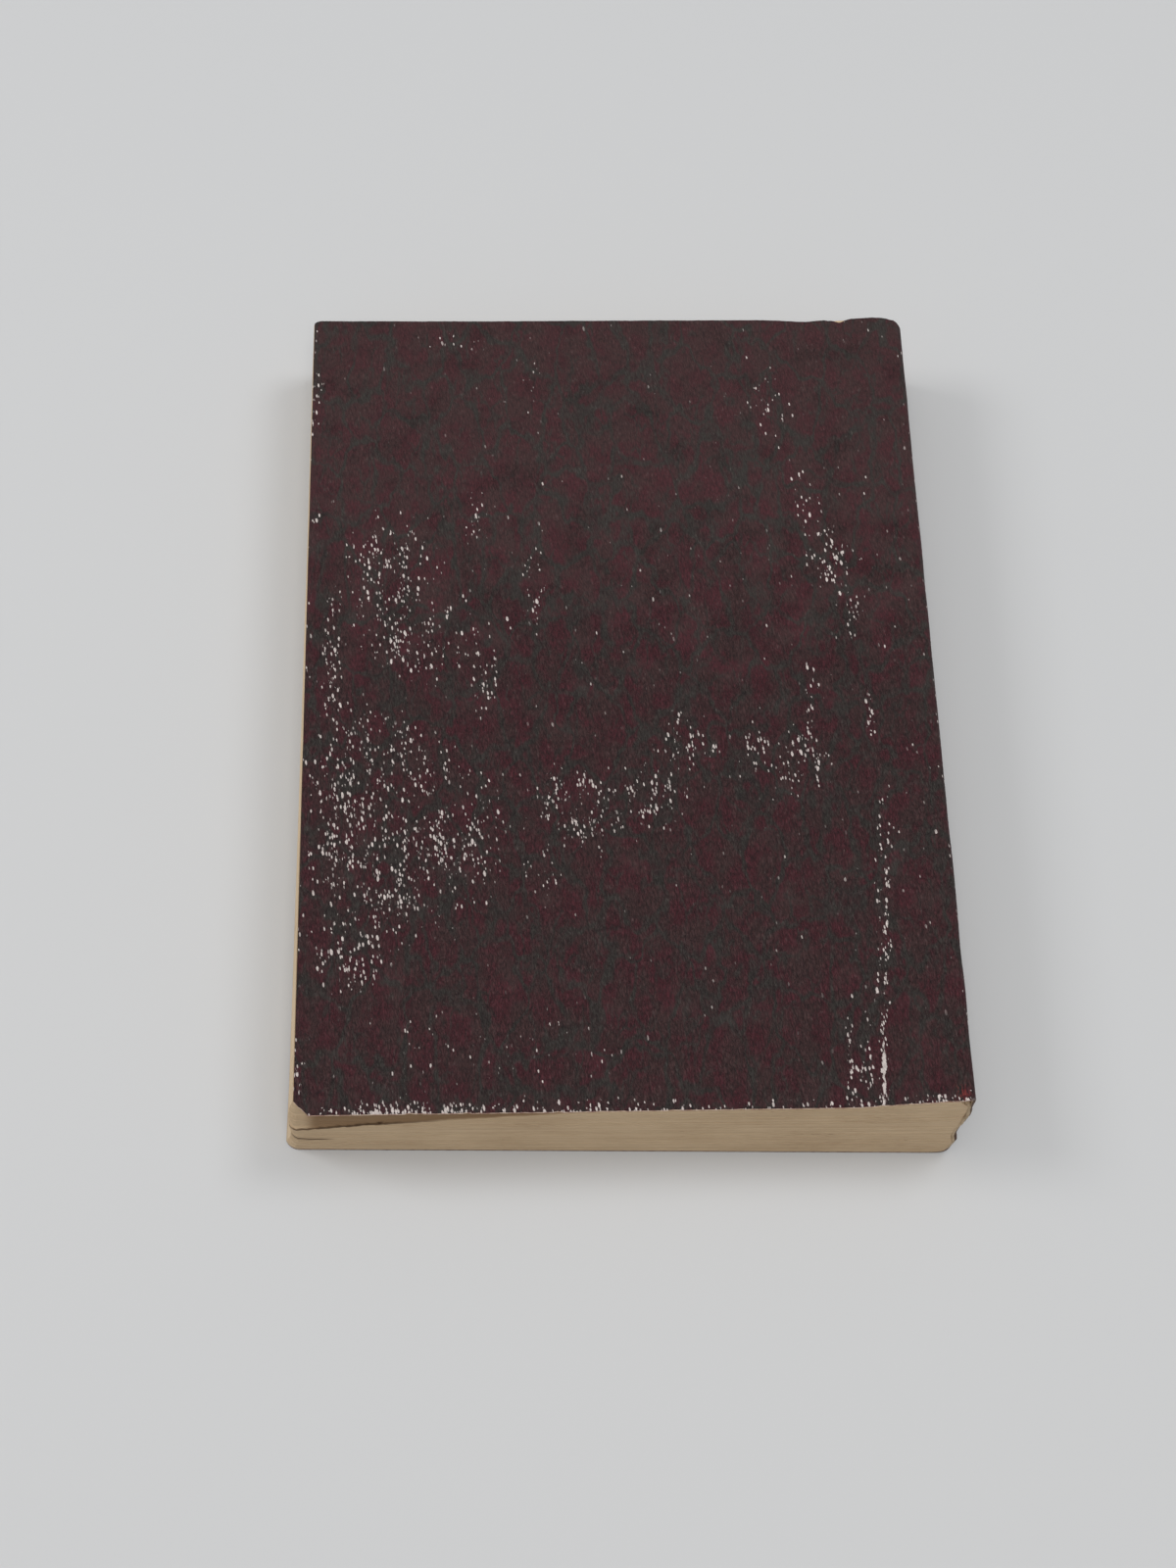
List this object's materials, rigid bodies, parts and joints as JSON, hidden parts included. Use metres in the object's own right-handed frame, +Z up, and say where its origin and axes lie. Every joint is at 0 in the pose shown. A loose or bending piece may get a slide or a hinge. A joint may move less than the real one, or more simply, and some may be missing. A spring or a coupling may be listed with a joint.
{
  "type": "softcover book",
  "caption": "Small limp-bound softcover book lying closed with its back cover up: trimmed page block, wrap-around leather-grained cover creased at both sides so that each cover opens.",
  "frame": {"origin": "on the resting plane, under the middle of the closed book's bounding box", "axes": "+X from the fore-edge to the spine, +Y from the tail to the head, +Z up out of the back cover"},
  "size_m": [0.1082, 0.1512, 0.0165],
  "materials": {
    "paper": "matte uncoated paper, edge-trimmed leaves, browned",
    "adhesive": "matte dried bookbinding adhesive",
    "cover": "satin leather-grained cover paper, dark maroon with grey veins, flaked"
  },
  "bodies": {
    "book_block": {"page_block": "paper", "spine_adhesive": "adhesive", "cover_spine": "cover"},
    "back_cover": {"back_cover": "cover"},
    "front_cover": {"front_cover": "cover"}
  },
  "joints": [
    {"name": "back_cover_crease", "type": "hinge", "parent": "book_block", "child": "back_cover", "pos_m": [0.03958, 0.00136, 0.0155], "axis": [-0.0209, 0.9998, 0], "range_deg": [0, 170]},
    {"name": "front_cover_crease", "type": "hinge", "parent": "book_block", "child": "front_cover", "pos_m": [0.03899, -0.00107, 0], "axis": [0, -1, 0], "range_deg": [0, 170]}
  ]
}
